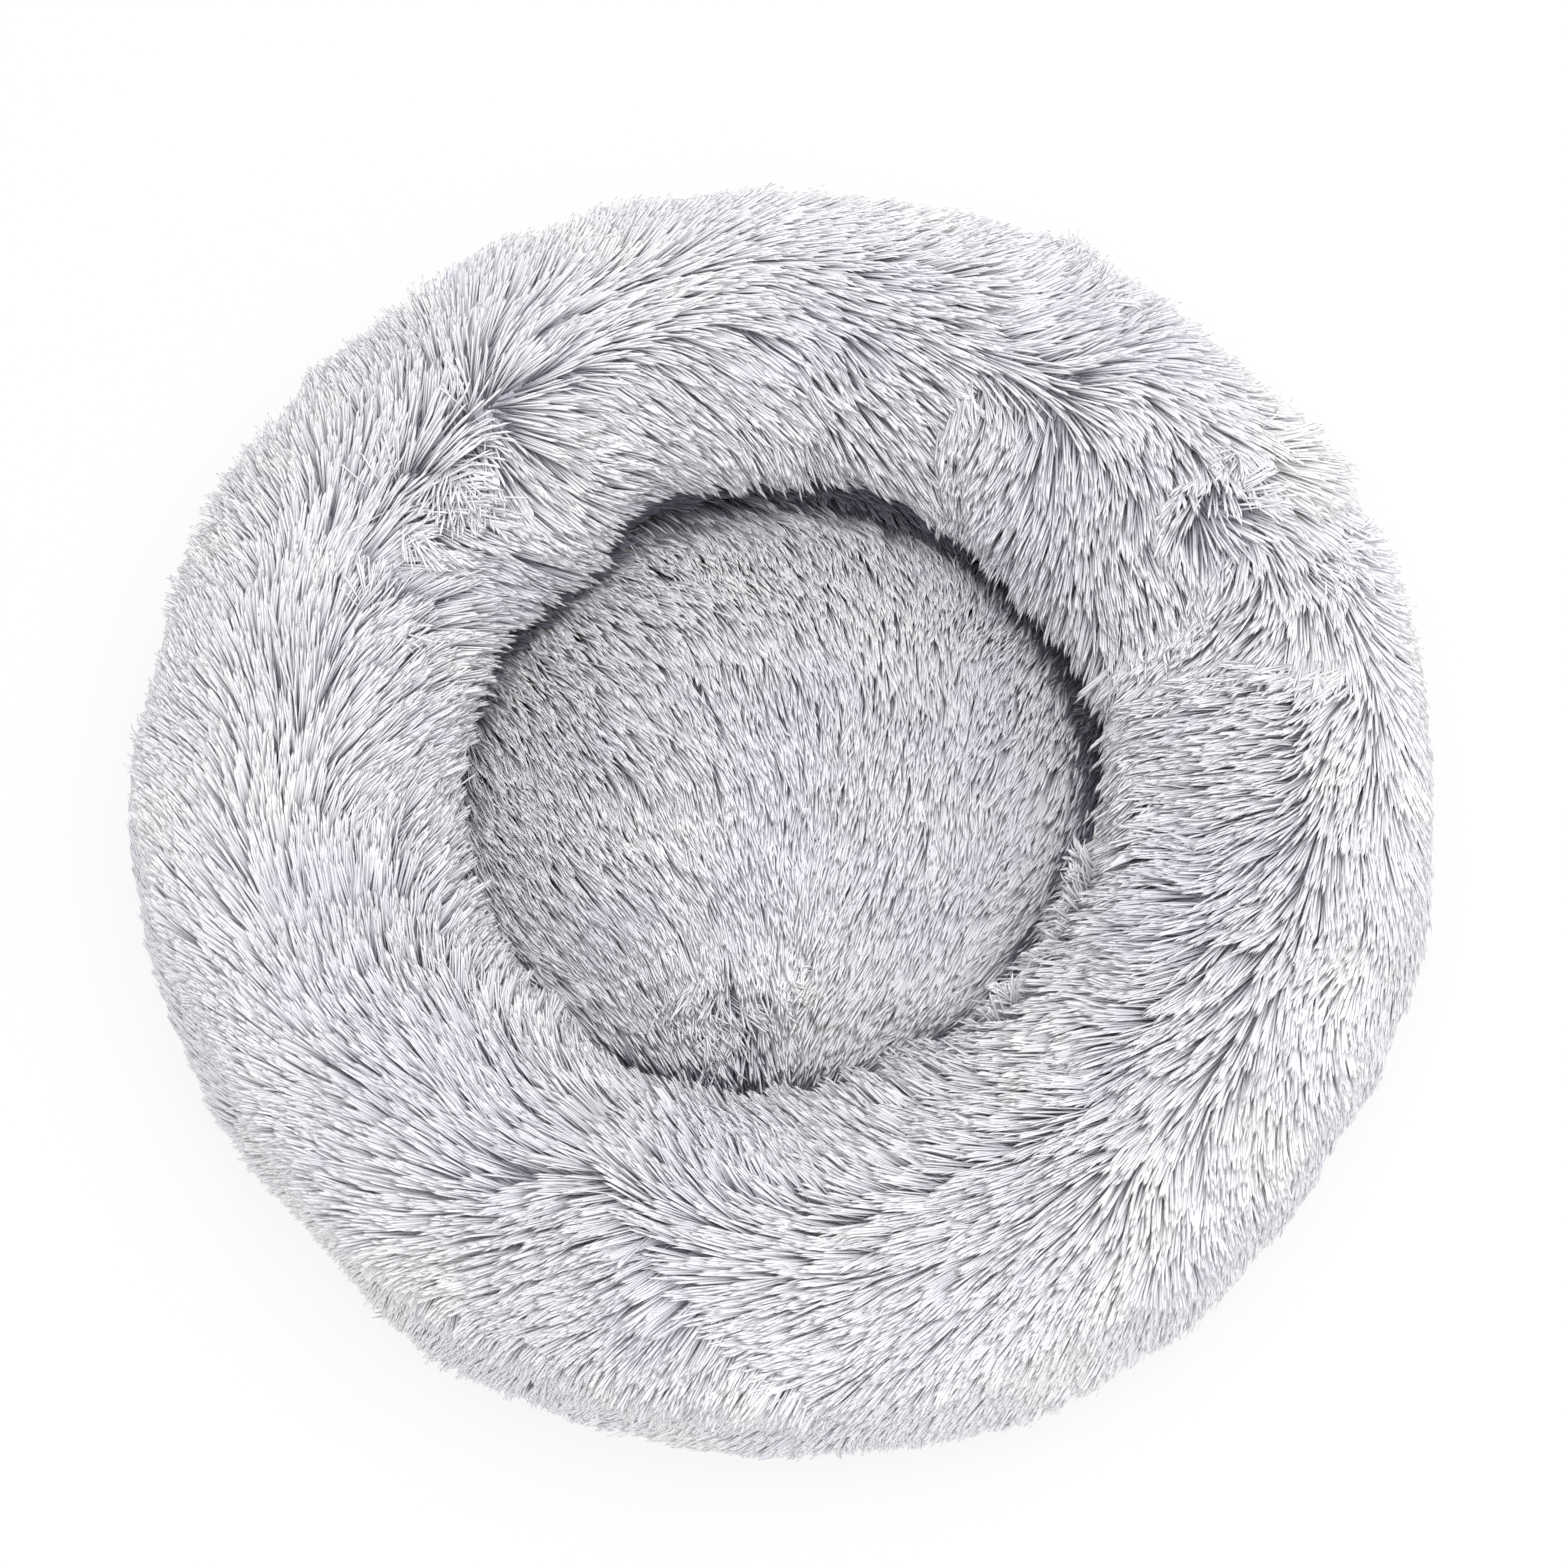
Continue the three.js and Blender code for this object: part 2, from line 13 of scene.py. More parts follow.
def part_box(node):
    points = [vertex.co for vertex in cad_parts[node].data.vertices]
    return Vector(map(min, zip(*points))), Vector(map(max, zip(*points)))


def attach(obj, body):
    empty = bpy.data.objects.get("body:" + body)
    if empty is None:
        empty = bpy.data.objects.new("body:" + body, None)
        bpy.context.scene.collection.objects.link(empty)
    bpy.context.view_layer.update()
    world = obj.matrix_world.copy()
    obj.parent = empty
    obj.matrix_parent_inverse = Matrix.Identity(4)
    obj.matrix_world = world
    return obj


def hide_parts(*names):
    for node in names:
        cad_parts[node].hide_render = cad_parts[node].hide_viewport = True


bl_info = {
    "name": "Donut pet bed",
    "version": (1, 0, 0),
    "blender": (4, 5, 0),
    "location": "View3D > Sidebar > Donut bed",
    "description": "Plush, base, zip and stage of a round donut pet bed",
    "category": "Object",
}

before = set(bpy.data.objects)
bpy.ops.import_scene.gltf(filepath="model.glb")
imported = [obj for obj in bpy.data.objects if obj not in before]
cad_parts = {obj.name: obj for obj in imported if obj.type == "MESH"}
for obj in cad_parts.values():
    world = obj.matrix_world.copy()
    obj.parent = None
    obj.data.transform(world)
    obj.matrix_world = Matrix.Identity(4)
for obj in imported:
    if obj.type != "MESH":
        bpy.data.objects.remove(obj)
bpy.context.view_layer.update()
MM = 0.001
SEED = 7

PANEL_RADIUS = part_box("sleeping_panel")[1].x
BASE_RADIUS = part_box("base_panel")[1].x
FILLING_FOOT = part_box("rim_filling")[0].z
SEAM_HEIGHT = 40 * MM  # where rim and sleeping panel are sewn together
LIP_HEIGHT = 104 * MM  # where the rim overhangs the sleeping panel
PILE_DEPTH = 9 * MM  # backing and pile lying over it


class PileSizes(bpy.types.PropertyGroup):
    """The plush pile"""

    lock_length: FloatProperty(
        name="Lock length", description="Length of a lock of pile", default=24 * MM, unit="LENGTH"
    )
    lock_width: FloatProperty(
        name="Lock width", description="Width of a lock at its thickest", default=1.06 * MM, unit="LENGTH"
    )
    rise: FloatProperty(
        name="Rise", description="Angle at which a lock leaves the backing", default=math.radians(38),
        subtype="ANGLE",
    )
    lie: FloatProperty(
        name="Lie", description="Angle of a lock's tip to the backing", default=math.radians(4),
        subtype="ANGLE",
    )
    gather: FloatProperty(
        name="Gather", description="How far the tips of a tuft draw together", default=0.74, subtype="FACTOR"
    )
    rim_locks: IntProperty(name="Rim locks", description="Number of locks on the rim", default=152000)
    panel_locks: IntProperty(
        name="Panel locks", description="Number of locks on the sleeping panel", default=32000
    )


class PileColours(bpy.types.PropertyGroup):
    """The colours of the plush"""

    tip: FloatVectorProperty(
        name="Tip", description="Colour of the pile's tips", default=(0.918, 0.914, 0.934), subtype="COLOR"
    )
    middle: FloatVectorProperty(
        name="Middle", description="Colour half way down the pile", default=(0.865, 0.86, 0.91),
        subtype="COLOR",
    )
    root: FloatVectorProperty(
        name="Root", description="Colour low down the pile", default=(0.43, 0.42, 0.5), subtype="COLOR"
    )
    # Painted shade: this near-black is given to locks where shade falls, under the rim's lip and round the
    # sleeping panel, and a little of it to the base of every lock.
    foot: FloatVectorProperty(
        name="Foot", description="Colour at the foot of the pile, seen where it parts",
        default=(0.045, 0.042, 0.075), subtype="COLOR",
    )
    backing: FloatVectorProperty(
        name="Backing", description="Colour of the knitted backing", default=(0.52, 0.51, 0.59),
        subtype="COLOR",
    )


class UndersideColours(bpy.types.PropertyGroup):
    """The colours of the base and the zip"""

    oxford: FloatVectorProperty(
        name="Base", description="Colour of the coated base", default=(0.235, 0.238, 0.262), subtype="COLOR"
    )
    webbing: FloatVectorProperty(
        name="Tape", description="Colour of the zip's tapes", default=(0.2, 0.203, 0.226), subtype="COLOR"
    )
    teeth: FloatVectorProperty(
        name="Teeth", description="Colour of the zip's teeth", default=(0.33, 0.335, 0.36), subtype="COLOR"
    )
    metal: FloatVectorProperty(
        name="Metal", description="Colour of the slider, stops and pull", default=(0.62, 0.62, 0.64),
        subtype="COLOR",
    )


class StageLook(bpy.types.PropertyGroup):
    """The floor, the light and the camera"""

    floor: FloatVectorProperty(
        name="Floor", description="Colour of the floor", default=(0.93, 0.93, 0.93), subtype="COLOR"
    )
    sky: FloatProperty(name="Sky", description="Strength of the light from above", default=0.63)
    horizon: FloatProperty(
        name="Horizon", description="How much stronger the light from all round is", default=1.8
    )
    key: FloatProperty(name="Key light", description="Power of the large lamp", default=22.5, unit="POWER")
    elevation: FloatProperty(
        name="Camera elevation", description="Camera's angle above the floor", default=math.radians(73.5),
        subtype="ANGLE",
    )
    distance: FloatProperty(
        name="Camera distance", description="From the camera to the bed", default=1.5, unit="LENGTH"
    )
    view_width: FloatProperty(
        name="View width", description="Width that the camera sees at the bed", default=585 * MM,
        unit="LENGTH",
    )


def settings(name):
    return getattr(bpy.context.scene, "donut_bed_" + name)


# Objects and meshes


def new_object(name, mesh):
    obj = bpy.data.objects.new(name, mesh)
    bpy.context.scene.collection.objects.link(obj)
    return obj


def add_piece(obj, body, material, replaces=()):
    obj.data.materials.clear()
    obj.data.materials.append(material)
    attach(obj, body)
    if replaces:
        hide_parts(*replaces)
    return obj


def values_of(items, name, width=1, kind=float):
    """One value, or a row of them, for each vertex, corner or face."""
    values = np.empty(len(items) * width, kind)
    items.foreach_get(name, values)
    return values.reshape(-1, width) if width > 1 else values


def points_of(mesh):
    return values_of(mesh.vertices, "co", 3)


def set_points(mesh, points):
    mesh.vertices.foreach_set("co", points.astype(np.float32).ravel())
    mesh.update()


def bake_modifiers(obj):
    """Puts what the object's modifiers make into its mesh."""
    graph = bpy.context.evaluated_depsgraph_get()
    made = bpy.data.meshes.new_from_object(obj.evaluated_get(graph))
    obj.modifiers.clear()
    obj.data = made


def radius_of(places):
    """How far each place is from the bed's middle, as seen from above."""
    return np.hypot(places[:, 0], places[:, 1])


def stuffed_copy(node, name, voxel, still):
    """A copy of a CAD cushion's solid with an even mesh, swollen by its filling. still gives, for each point,
    how firmly it is held where it is, from 0 to 1."""
    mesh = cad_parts[node].data.copy()
    work = bmesh.new()
    work.from_mesh(mesh)
    bmesh.ops.remove_doubles(work, verts=work.verts, dist=MM / 100)
    work.to_mesh(mesh)
    work.free()
    obj = new_object(name, mesh)
    remesh = obj.modifiers.new("Even mesh", "REMESH")
    remesh.mode = "VOXEL"
    remesh.voxel_size = voxel
    bake_modifiers(obj)
    relax(obj, SMOOTH_STEPS)
    swell(obj, still)
    obj.data.shade_smooth()
    return obj


SMOOTH_STEPS = 3
SWELL_FRAMES = 20
SWELL_PRESSURE = 4
SWELL_CAP = 6 * MM


def relax(obj, steps):
    work = bmesh.new()
    work.from_mesh(obj.data)
    for _ in range(steps):
        bmesh.ops.smooth_vert(
            work, verts=work.verts, factor=0.5, use_axis_x=True, use_axis_y=True, use_axis_z=True
        )
    work.to_mesh(obj.data)
    work.free()


def swell(obj, still):
    """Fills the cushion with pressure for a few frames, as cloth, and keeps each point near its start."""
    start = points_of(obj.data)
    held = obj.vertex_groups.new(name="held")
    weights = np.round(still(start), 1)
    for weight in np.unique(weights[weights > 0]):
        held.add(np.nonzero(weights == weight)[0].tolist(), float(weight), "REPLACE")
    cloth = obj.modifiers.new("Filling", "CLOTH")
    cloth.settings.use_pressure = True
    cloth.settings.uniform_pressure_force = SWELL_PRESSURE
    cloth.settings.effector_weights.gravity = 0
    cloth.settings.vertex_group_mass = "held"
    cloth.settings.pin_stiffness = 1
    cloth.collision_settings.use_collision = False
    cloth.point_cache.frame_start = 1
    cloth.point_cache.frame_end = SWELL_FRAMES
    scene = bpy.context.scene
    for number in range(1, SWELL_FRAMES + 1):
        scene.frame_set(number)
    bake_modifiers(obj)
    scene.frame_set(1)
    moved = points_of(obj.data) - start
    length = np.linalg.norm(moved, axis=1, keepdims=True)
    moved *= np.minimum(1, SWELL_CAP / np.maximum(length, MM / 1000))
    set_points(obj.data, start + moved)
    obj.vertex_groups.clear()


# The pile


def lock_template():
    """One lock of pile: a three-sided spike of unit length along Z, cut into rings where it will bend."""
    work = bmesh.new()
    bmesh.ops.create_cone(
        work, cap_ends=True, segments=LOCK_SIDES, radius1=1, radius2=0, depth=1,
        matrix=Matrix.Translation((0, 0, 0.5)),
    )
    for height in LOCK_BENDS:
        bmesh.ops.bisect_plane(
            work, geom=work.verts[:] + work.edges[:] + work.faces[:], plane_co=(0, 0, height),
            plane_no=(0, 0, 1),
        )
    bmesh.ops.triangulate(work, faces=work.faces)
    bmesh.ops.recalc_face_normals(work, faces=work.faces)
    work.verts.index_update()
    points = np.array([v.co[:] for v in work.verts])
    faces = np.array([[v.index for v in f.verts] for f in work.faces])
    work.free()
    return points, faces


LOCK_SIDES = 3
LOCK_BENDS = (0.88,)
LOCK_SHAPE = ((0, 0.7), (0.88, 1), (1, 0))  # (place along the lock, share of its full width)
SHADES = 200  # how far apart the locks' shades lie on the pile's own map


def unit(vectors):
    return vectors / np.maximum(np.linalg.norm(vectors, axis=-1, keepdims=True), 1e-9)


def flat_to(vectors, normals):
    """The vectors as they lie in the surface, with unit length."""
    return unit(vectors - np.sum(vectors * normals, axis=1, keepdims=True) * normals)


def turned(vectors, normals, angles):
    """Vectors in the surface, turned about its normal."""
    across = np.cross(normals, vectors)
    return vectors * np.cos(angles)[:, None] + across * np.sin(angles)[:, None]


def scatter(mesh, count, wanted, rng):
    """Roots spread evenly over the faces that are wanted: places and normals."""
    faces = mesh.polygons
    kept = wanted(values_of(faces, "center", 3), values_of(faces, "normal", 3))
    total = np.cumsum(np.where(kept, values_of(faces, "area"), 0))
    chosen = np.searchsorted(total, (np.arange(count) + rng.random(count)) / count * total[-1])
    starts = values_of(faces, "loop_start", kind=np.int32)[chosen]
    sizes = values_of(faces, "loop_total", kind=np.int32)[chosen]
    corners = values_of(mesh.loops, "vertex_index", kind=np.int32)
    a, b, c = (corners[starts + k] for k in range(3))
    d = corners[starts + sizes - 1]
    u, v = rng.random((2, count, 1))
    places, leans = (
        (1 - v) * ((1 - u) * data[a] + u * data[b]) + v * ((1 - u) * data[d] + u * data[c])
        for data in (points_of(mesh), values_of(mesh.vertices, "normal", 3))
    )
    return places, unit(leans)


def smooth_step(start, end, values):
    share = np.clip((values - start) / (end - start), 0, 1)
    return share**2 * (3 - 2 * share)


def waves(places, size, rng, count=6):
    """A smooth wandering value about 0, of about unit size, whose features are the given size across."""
    total = np.zeros(len(places))
    for _ in range(count):
        along = places @ unit(rng.normal(size=3)) * (2 * math.pi / size)
        total += np.sin(along * rng.uniform(*WAVE_SIZES) + rng.uniform(0, WAVE_START))
    return total / math.sqrt(count / 2)


WAVE_SIZES = (0.6, 1.4)
WAVE_START = 6.3  # a little over a full turn


def nearest(places, centres):
    """For each place the number of the nearest centre."""
    tree = kdtree.KDTree(len(centres))
    for number, centre in enumerate(centres):
        tree.insert(centre, number)
    tree.balance()
    return np.array([tree.find(place)[1] for place in places])


def lock_paths(roots, normals, lay, length, rise, lie, droop):
    """The bending line of each lock: its root, its bends and its tip."""
    steps = (0,) + LOCK_BENDS + (1,)
    line = [roots]
    for start, end in zip(steps, steps[1:]):
        middle = (start + end) / 2
        angle = (rise + (lie - rise) * middle)[:, None]
        heading = lay * np.cos(angle) + normals * np.sin(angle)
        heading[:, 2] -= droop * middle
        line.append(line[-1] + unit(heading) * (length * (end - start))[:, None])
    return np.stack(line, axis=1)


def grow_pile(
    name, roots, normals, lay, length, rise, width, droop, painted_shading, gather, coarse, tuft_size, slip, rng
):
    """One mesh of locks. lay is the way each lock lies in the surface. The painted shading is light and shade
    painted into each lock's colour: at 1 a lock takes the dark foot colour, painted shade, and at -1 its pale
    tip colour all along, painted light. tuft_size locks gather in a tuft, more where coarse is over 1. gather
    is how far their tips draw together, and slip is how far they stay one behind the other."""
    pile = settings("pile")
    count = len(roots)
    tufts = rng.choice(count, count // tuft_size, replace=False, p=1 / coarse / np.sum(1 / coarse))
    tuft = nearest(roots, roots[tufts])

    def uneven(by_tuft, by_lock):
        return by_tuft * rng.normal(size=len(tufts))[tuft] + by_lock * rng.normal(size=count)

    length = length * (1 + uneven(TUFT_UNEVEN, LOCK_UNEVEN))
    rise = rise * (1 + uneven(TUFT_UNEVEN, LOCK_UNEVEN))
    lay = turned(lay, normals, uneven(TUFT_TURN, LOCK_TURN))
    lines = lock_paths(roots, normals, lay, length, rise, np.full(count, pile.lie), droop)
    leader = lines[tufts][tuft]
    pull = gather[:, None, None] * (np.array((0,) + LOCK_BENDS + (1,)) ** GATHER_POWER)[None, :, None]
    off = leader - lines
    way = lay[:, None, :]
    off -= slip * np.sum(off * way, axis=2, keepdims=True) * way
    off *= np.minimum(1, GATHER_REACH / np.maximum(np.linalg.norm(off, axis=2, keepdims=True), MM / 1000))
    lines += off * pull * rng.uniform(*GATHER_SHARES, (count, 1, 1))
    lines[:, :, 2] = np.maximum(lines[:, :, 2], FLOOR_GAP)
    shade = rng.uniform(0, SHADES, len(tufts))[tuft] + rng.uniform(0, LOCK_SHADE, count)
    return lock_mesh(name, lines, normals, width, shade, painted_shading)


TUFT_UNEVEN = 0.06  # how far a tuft's length and rise vary, and a lock's in its tuft
LOCK_UNEVEN = 0.1
TUFT_TURN = 0.09
LOCK_TURN = 0.06
LOCK_SHADE = 0.8
GATHER_SHARES = (0.7, 1.1)
GATHER_POWER = 0.6
GATHER_REACH = 5 * MM
PILE_DROOP = 0.2
FLOOR_GAP = 1.2 * MM


def lock_mesh(name, lines, normals, width, shade, painted_shading):
    points, faces = lock_template()
    count = len(lines)
    along = points[:, 2]
    steps = np.array((0,) + LOCK_BENDS + (1,))
    ring = np.argmin(abs(along[:, None] - steps[None, :]), axis=1)
    reach = np.array([share for _, share in LOCK_SHAPE])[ring]
    flank = np.where(along < 1, 1 / np.maximum(1 - along, 1e-6), 0)
    around = points[:, :2] * (flank * reach)[:, None]
    heading = unit(np.gradient(lines, axis=1))
    side = unit(np.cross(heading, normals[:, None, :]))
    out = np.cross(side, heading)  # away from the skin; a lock shows one of its three flat sides
    half = (width / 2)[:, None, None]
    placed = (
        lines[:, ring]
        + side[:, ring] * around[None, :, 1:] * half
        - out[:, ring] * around[None, :, :1] * half * LOCK_FLATNESS
    )
    mesh = bpy.data.meshes.new(name)
    mesh.vertices.add(count * len(points))
    mesh.vertices.foreach_set("co", placed.astype(np.float32).ravel())
    corners = (faces[None] + (np.arange(count) * len(points))[:, None, None]).astype(np.int32)
    mesh.loops.add(corners.size)
    mesh.loops.foreach_set("vertex_index", corners.ravel())
    mesh.polygons.add(count * len(faces))
    mesh.polygons.foreach_set("loop_start", np.arange(0, corners.size, 3, dtype=np.int32))
    across = np.arctan2(points[:, 1], points[:, 0]) / math.pi / 3
    u = shade[:, None] + across[None, :]
    # A lock with painted shading over 0 takes the dark foot end of the map, painted shade; one under 0 takes
    # the pale tip end all along, painted light.
    shown, hidden = FOOT_SHARE + (1 - FOOT_SHARE) * along, SHADE_MAP_REACH * along
    aim = np.where(painted_shading[:, None] > 0, hidden[None, :], 1)
    v = shown[None, :] + (aim - shown[None, :]) * abs(painted_shading)[:, None]
    grain = mesh.uv_layers.new(name="pile")
    uv = np.stack([u, v], axis=-1).reshape(-1, 2)[corners.ravel()]
    grain.data.foreach_set("uv", uv.astype(np.float32).ravel())
    mesh.update(calc_edges=True)
    mesh.shade_smooth()
    return new_object(name, mesh)


LOCK_FLATNESS = 0.7
FOOT_SHARE = 0.2  # where on the pile's own map a lock starts, and where one painted in shade ends
SHADE_MAP_REACH = 0.14
LOCKS_PER_PIECE = 19500  # a piece stays under 200,000 triangles


# Materials


def material(name):
    made = bpy.data.materials.new(name)
    made.use_nodes = True
    return made, made.node_tree.nodes, made.node_tree.links


def node(nodes, kind, **values):
    """A node with its settings, and its inputs named or numbered as in_NAME."""
    made = nodes.new(kind)
    for key, value in values.items():
        if key.startswith("in_"):
            made.inputs[key[3:].replace("_", " ")].default_value = value
        else:
            setattr(made, key, value)
    return made


def rgba(colour, factor=1):
    return (*[channel * factor for channel in colour], 1)


def ramp(nodes, stops):
    """A colour ramp through (place, colour) stops."""
    made = nodes.new("ShaderNodeValToRGB")
    while len(made.color_ramp.elements) < len(stops):
        made.color_ramp.elements.new(0.5)
    for element, (place, colour) in zip(made.color_ramp.elements, stops):
        element.position = place
        element.color = colour
    return made


def noise(nodes, links, vector, scale, detail, stops):
    """Noise at the places that vector gives, by itself and put through a colour ramp."""
    made = node(nodes, "ShaderNodeTexNoise", in_Scale=scale, in_Detail=detail)
    links.new(vector, made.inputs["Vector"])
    shade = ramp(nodes, stops)
    links.new(made.outputs[0], shade.inputs[0])
    return made.outputs[0], shade.outputs[0]


def multiplied(nodes, links, first, second):
    """One colour times another, as a node whose factor may be linked."""
    made = node(nodes, "ShaderNodeMix", data_type="RGBA", blend_type="MULTIPLY", in_Factor=1.0)
    links.new(first, made.inputs[6])
    links.new(second, made.inputs[7])
    return made


def bumped(nodes, links, height, strength, distance):
    """Makes the shader's surface stand out by a height."""
    bump = node(nodes, "ShaderNodeBump", in_Strength=strength, in_Distance=distance)
    links.new(height, bump.inputs["Height"])
    links.new(bump.outputs[0], nodes["Principled BSDF"].inputs["Normal"])


def pile_material():
    """Long pile: dark at the roots, pale at the tips, with fine streaks along each lock."""
    colours = settings("colours")
    made, nodes, links = material("plush_pile")
    shader = nodes["Principled BSDF"]
    shader.inputs["Roughness"].default_value = 0.7
    shader.inputs["Specular IOR Level"].default_value = 0.25
    shader.inputs["Sheen Weight"].default_value = 0.25
    shader.inputs["Sheen Roughness"].default_value = 0.5
    place = node(nodes, "ShaderNodeUVMap", uv_map="pile")
    parts = nodes.new("ShaderNodeSeparateXYZ")
    links.new(place.outputs[0], parts.inputs[0])
    # The near-black first stop is painted shade and the last, paler than the tips, painted light: locks given
    # painted shade take the first end, locks given painted light the last, and every lock a little of each at
    # its root and its tip.
    along = ramp(
        nodes,
        [
            (0.0, rgba(colours.foot)),
            (FOOT_SHARE + 0.1, rgba(colours.root)),
            (0.5, rgba(colours.middle)),
            (0.8, rgba(colours.tip)),
            (1.0, rgba(colours.tip, 1.07)),
        ],
    )
    links.new(parts.outputs["Y"], along.inputs[0])
    stretch = node(nodes, "ShaderNodeMapping")
    stretch.inputs["Scale"].default_value = STREAKS
    links.new(place.outputs[0], stretch.inputs[0])
    streaks, streak_shade = noise(
        nodes, links, stretch.outputs[0], 1.0, 3.0, [(0.3, (0.72, 0.72, 0.75, 1)), (0.55, (1, 1, 1, 1))]
    )
    lock = multiplied(nodes, links, along.outputs[0], streak_shade)
    strength = node(nodes, "ShaderNodeMapRange", in_From_Min=0.85, in_To_Min=1.0, in_To_Max=0.3)
    links.new(parts.outputs["Y"], strength.inputs[0])
    links.new(strength.outputs[0], lock.inputs[0])
    where = nodes.new("ShaderNodeTexCoord").outputs["Object"]
    _, cloud_shade = noise(
        nodes, links, where, CLOUD_SCALE, 2.0, [(0.35, (0.93, 0.93, 0.965, 1)), (0.65, (1, 1, 0.99, 1))]
    )
    whole = multiplied(nodes, links, lock.outputs[2], cloud_shade)
    links.new(whole.outputs[2], shader.inputs["Base Color"])
    bumped(nodes, links, streaks, 0.35, STREAK_HEIGHT)
    return made


def backing_material():
    """The knitted backing between the locks."""
    colours = settings("colours")
    made, nodes, links = material("plush_backing")
    shader = nodes["Principled BSDF"]
    shader.inputs["Roughness"].default_value = 0.95
    where = nodes.new("ShaderNodeTexCoord").outputs["Object"]
    stops = [(0.3, rgba(colours.backing, 0.7)), (0.7, rgba(colours.backing, 1.2))]
    knit, shade = noise(nodes, links, where, KNIT_SCALE, 2.0, stops)
    links.new(shade, shader.inputs["Base Color"])
    bumped(nodes, links, knit, 0.6, KNIT_HEIGHT)
    return made


STREAKS = (7, 0.6, 1)  # how close they lie across a lock and along it
STREAK_HEIGHT = 0.15 * MM
CLOUD_SCALE = 18.0
KNIT_SCALE = 900.0
KNIT_HEIGHT = 0.4 * MM


# The pieces


class DONUT_OT_rim_cushion(bpy.types.Operator):
    """The rim's stuffed ring, with the plush's backing as its skin"""

    bl_idname = "donut.rim_cushion"
    bl_label = "Rim cushion"

    def execute(self, context):
        def still(points):
            low = points[:, 2] < FILLING_FOOT + FOOT_HELD
            inner = (radius_of(points) < PANEL_RADIUS) & (points[:, 2] < LIP_HEIGHT - PILE_DEPTH)
            return np.where(low | inner, 1.0, 0.0)

        obj = stuffed_copy("rim_filling", "rim_plush", RIM_MESH, still)
        add_piece(obj, "bed", backing_material(), ("rim_cover", "rim_casing", "rim_filling"))
        return {"FINISHED"}


RIM_MESH = 5 * MM
PAD_MESH = 4 * MM
FOOT_HELD = 4 * MM  # the ring is held still up to this height over its foot
PAD_HELD = (114 * MM, 132 * MM)  # and the round cushion more and more between these radii


class DONUT_OT_sleeping_cushion(bpy.types.Operator):
    """The round cushion that the pet lies on, with the plush's backing as its skin"""

    bl_idname = "donut.sleeping_cushion"
    bl_label = "Sleeping cushion"

    def execute(self, context):
        def still(points):
            return np.where(points[:, 2] < SEAM_HEIGHT, 1.0, smooth_step(*PAD_HELD, radius_of(points)))

        obj = stuffed_copy("pad_filling", "sleeping_plush", PAD_MESH, still)
        add_piece(obj, "bed", backing_material(), ("sleeping_panel", "pad_casing", "pad_filling"))
        return {"FINISHED"}


# How the pile of the rim was brushed: clockwise, and turned from that by so many degrees, outward positive.
# Each row is [bearing, at the lip, on the inner slope, on the crest, on the outer slope, at the edge].
BRUSHED = (
    (0, -70, -75, -60, -20, 5),
    (15, -85, -85, -80, -55, 35),
    (30, -50, -40, -70, -20, 15),
    (45, -65, -50, -25, 0, 75),
    (60, -65, -90, 20, 55, 90),
    (75, -40, -20, 5, 35, 45),
    (90, -60, -40, -5, 20, 50),
    (120, -40, -50, 0, 45, 40),
    (135, -75, -70, 45, 85, 80),
    (150, -90, -60, -10, 45, 60),
    (180, -45, -30, 10, 35, 45),
    (210, -65, -15, -10, 10, 20),
    (225, -65, -15, 0, 10, 55),
    (240, -35, -10, -5, 0, 75),
    (270, -35, -25, 15, 25, 40),
    (300, -60, -20, 10, 20, 35),
    (315, -50, -30, 0, 35, 65),
    (330, -65, -70, -25, 10, 45),
    (345, -75, -70, -30, -5, 20),
)
BRUSHED_RADII = (135 * MM, 158 * MM, 181 * MM, 205 * MM, 228 * MM)
FALL_SHARE = 0.5
FIELD_EDGE = (0.28, 0.72)  # between these shares of the way the lay turns from one field to the next
PATCH_COUNT = 90
PATCH_TURN = 0.2
WANDER_SIZE = 80 * MM
WANDER_TURN = 0.15
# Places where the pile stands up and parts every way: [x, y, reach] as seen from above.
WHORLS = (
    (-109 * MM, 130 * MM, 24 * MM),
    (-138 * MM, 96 * MM, 18 * MM),
    (-148 * MM, 52 * MM, 12 * MM),
    (172 * MM, 118 * MM, 16 * MM),
    (112 * MM, 182 * MM, 14 * MM),
)
# Places where it is ruffled.
RUFFLES = (
    (158 * MM, 99 * MM, 13 * MM),
    (197 * MM, 86 * MM, 15 * MM),
    (-124 * MM, 116 * MM, 15 * MM),
)


def spread(lay, rise, places, centre, reach, rng):
    """Parts the pile every way from a place. In its middle the locks stand and cross."""
    away = places - np.array([*centre, 0])
    away[:, 2] = 0
    off = np.linalg.norm(away, axis=1) / reach
    share = SPREAD_SHARE * np.exp(-(off**2))
    middle = np.exp(-((off / 0.5) ** 2))
    heading = turned(unit(away), UPRIGHT, SPREAD_CROSSING * waves(places, SPREAD_SIZE, rng))
    lay = lay * (1 - share)[:, None] + heading * share[:, None]
    return lay, rise * (1 + SPREAD_RISE * middle)


def ruffled(lay, rise, places, centre, reach, rng):
    """Ruffles the pile about a place, so that its locks stand and cross."""
    off = places[:, :2] - np.array(centre)
    share = np.exp(-np.sum(off**2, axis=1) / reach**2)
    turn = RUFFLED_TURN * share * waves(places, RUFFLED_SIZE, rng)
    return turned(lay, UPRIGHT, turn), rise * (1 + RUFFLED_RISE * share)


